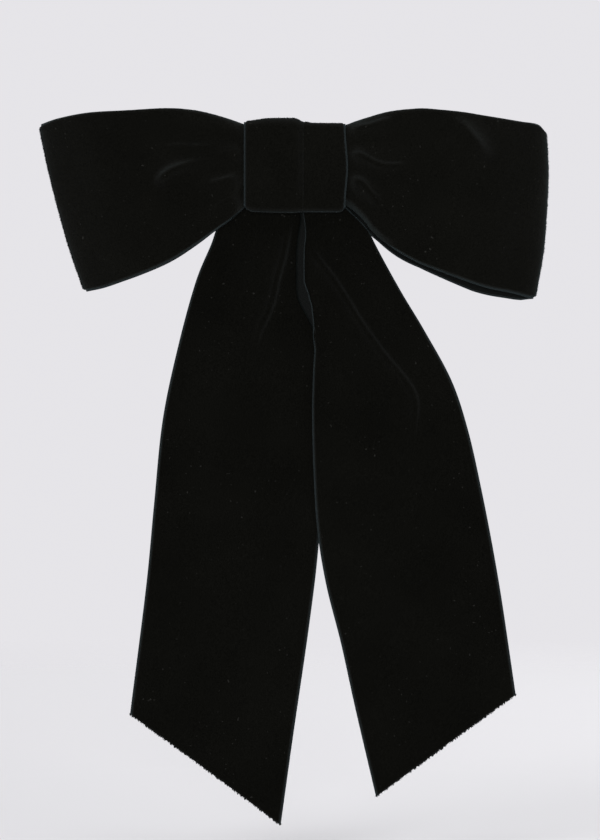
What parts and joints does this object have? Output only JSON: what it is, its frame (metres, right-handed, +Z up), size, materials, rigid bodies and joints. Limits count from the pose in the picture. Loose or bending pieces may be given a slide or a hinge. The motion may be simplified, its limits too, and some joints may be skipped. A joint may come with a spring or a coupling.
{
  "type": "hair bow",
  "caption": "Velvet ribbon hair bow with two loops, a pleated knot and two slant-cut tails, on a sprung metal barrette that clamps a section of hair.",
  "frame": {"origin": "centre of the channel between the tension bar and the closed clasp arm, where the hair is held, level with the middle of the knot", "axes": "+Z up along the hanging tails, -Y towards someone looking at the front of the bow, +Y into the hair, +X to that person's right"},
  "size_m": [0.1902, 0.0314, 0.2657],
  "materials": {
    "velvet": "deep black pile velvet",
    "thread": "black polyester sewing thread",
    "hot_melt": "cloudy hot-melt glue",
    "spring_steel": "nickel-plated spring steel"
  },
  "bodies": {
    "clip_base": {"base_plate": "spring_steel", "hinge_pin": "spring_steel", "latch_bridge": "spring_steel", "latch_rivet": "spring_steel", "knot_band": "velvet", "band_stitches": "thread", "binding_thread": "thread", "loop_centre": "velvet", "tail_centre": "velvet", "knot_glue": "hot_melt", "clip_glue": "hot_melt"},
    "closing_arm": {"clasp_arm": "spring_steel"},
    "tension_spring": {"tension_bar": "spring_steel"},
    "latch_upper": {"latch_prong_upper": "spring_steel"},
    "latch_lower": {"latch_prong_lower": "spring_steel"},
    "left_loop": {"loop_left": "velvet"},
    "right_loop": {"loop_right": "velvet"},
    "left_tail": {"tail_left": "velvet"},
    "right_tail": {"tail_right": "velvet"}
  },
  "joints": [
    {"name": "arm_hinge", "type": "hinge", "parent": "clip_base", "child": "closing_arm", "pos_m": [-0.0395, 0.0041, 0], "axis": [0, 0, 1], "range_deg": [0, 75]},
    {"name": "bar_flex", "type": "slide", "parent": "clip_base", "child": "tension_spring", "axis": [0, -1, 0], "range_m": [0, 0.0008], "stiffness_N_per_m": 900},
    {"name": "latch_upper_squeeze", "type": "hinge", "parent": "clip_base", "child": "latch_upper", "pos_m": [0.038, -0.00405, 0.00185], "axis": [-1, 0, 0], "range_deg": [0, 6], "stiffness_Nm_per_rad": 0.05},
    {"name": "latch_lower_squeeze", "type": "hinge", "parent": "clip_base", "child": "latch_lower", "pos_m": [0.038, -0.00405, -0.00185], "axis": [1, 0, 0], "range_deg": [0, 6], "stiffness_Nm_per_rad": 0.05},
    {"name": "left_loop_flex", "type": "hinge", "parent": "clip_base", "child": "left_loop", "pos_m": [-0.0196, -0.019, 0], "axis": [0, 0, 1], "range_deg": [-8, 15], "stiffness_Nm_per_rad": 0.004},
    {"name": "right_loop_flex", "type": "hinge", "parent": "clip_base", "child": "right_loop", "pos_m": [0.0196, -0.019, 0], "axis": [0, 0, -1], "range_deg": [-8, 15], "stiffness_Nm_per_rad": 0.004},
    {"name": "right_tail_swing", "type": "hinge", "parent": "clip_base", "child": "right_tail", "pos_m": [0, -0.01105, -0.0319], "axis": [-1, 0, 0], "range_deg": [0, 60]},
    {"name": "left_tail_swing", "type": "hinge", "parent": "clip_base", "child": "left_tail", "pos_m": [0, -0.00835, -0.0349], "axis": [-1, 0, 0], "range_deg": [0, 52]}
  ],
  "couplings": [
    {"joint": "left_tail_swing", "follows": "right_tail_swing", "ratio": 0.85}
  ]
}
